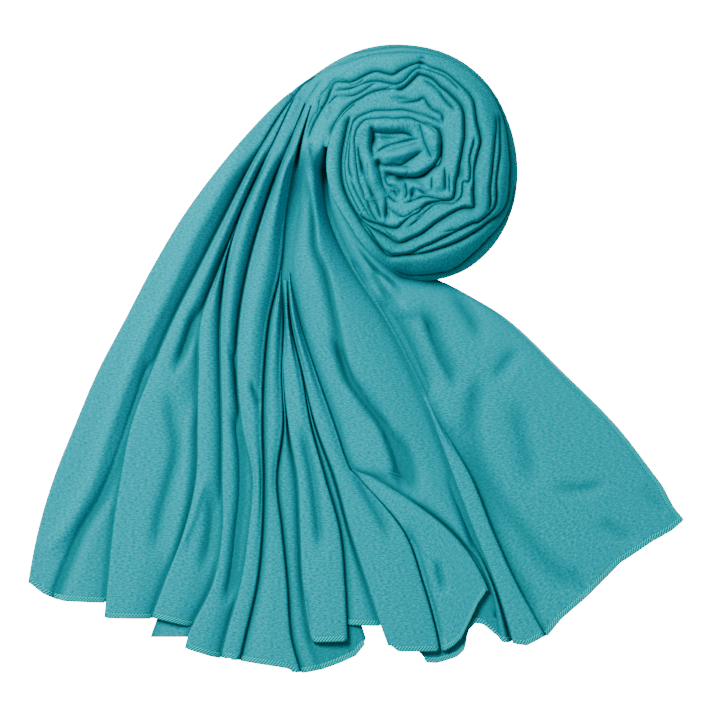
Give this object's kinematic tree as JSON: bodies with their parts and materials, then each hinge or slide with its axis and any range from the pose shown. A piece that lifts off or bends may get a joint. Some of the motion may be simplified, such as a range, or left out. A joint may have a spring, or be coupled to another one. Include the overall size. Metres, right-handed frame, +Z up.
{
  "type": "hijab headscarf",
  "caption": "Long plain jersey headscarf laid flat: one end wound into a flat coil, the rest fanned out in overlapping pleats down to narrow overlocked hems.",
  "frame": {"origin": "on the surface that the scarf lies on, at the middle of the box round its outline", "axes": "+Z up from that surface; +Y from the hems towards the coil; +X to the right of someone looking down with the hems nearest"},
  "size_m": [0.4985, 0.4758, 0.0469],
  "materials": {
    "jersey": "matte heathered turquoise jersey with a faint sheen"
  },
  "bodies": {
    "root": {"stretch_a_left_panel": "jersey", "stretch_b": "jersey", "stretch_c": "jersey", "stretch_c_under": "jersey", "stretch_d_left": "jersey", "stretch_d_right": "jersey", "stretch_e": "jersey", "stretch_f": "jersey", "stretch_g": "jersey", "stretch_h": "jersey", "stretch_i": "jersey", "stretch_j_flap": "jersey", "stretch_k": "jersey", "stretch_m_ridge": "jersey", "stretch_n_right_panel": "jersey", "coil_rim": "jersey", "coil_wide_band": "jersey", "coil_third_band": "jersey", "coil_inner_turn": "jersey", "coil_heart": "jersey"}
  },
  "joints": []
}
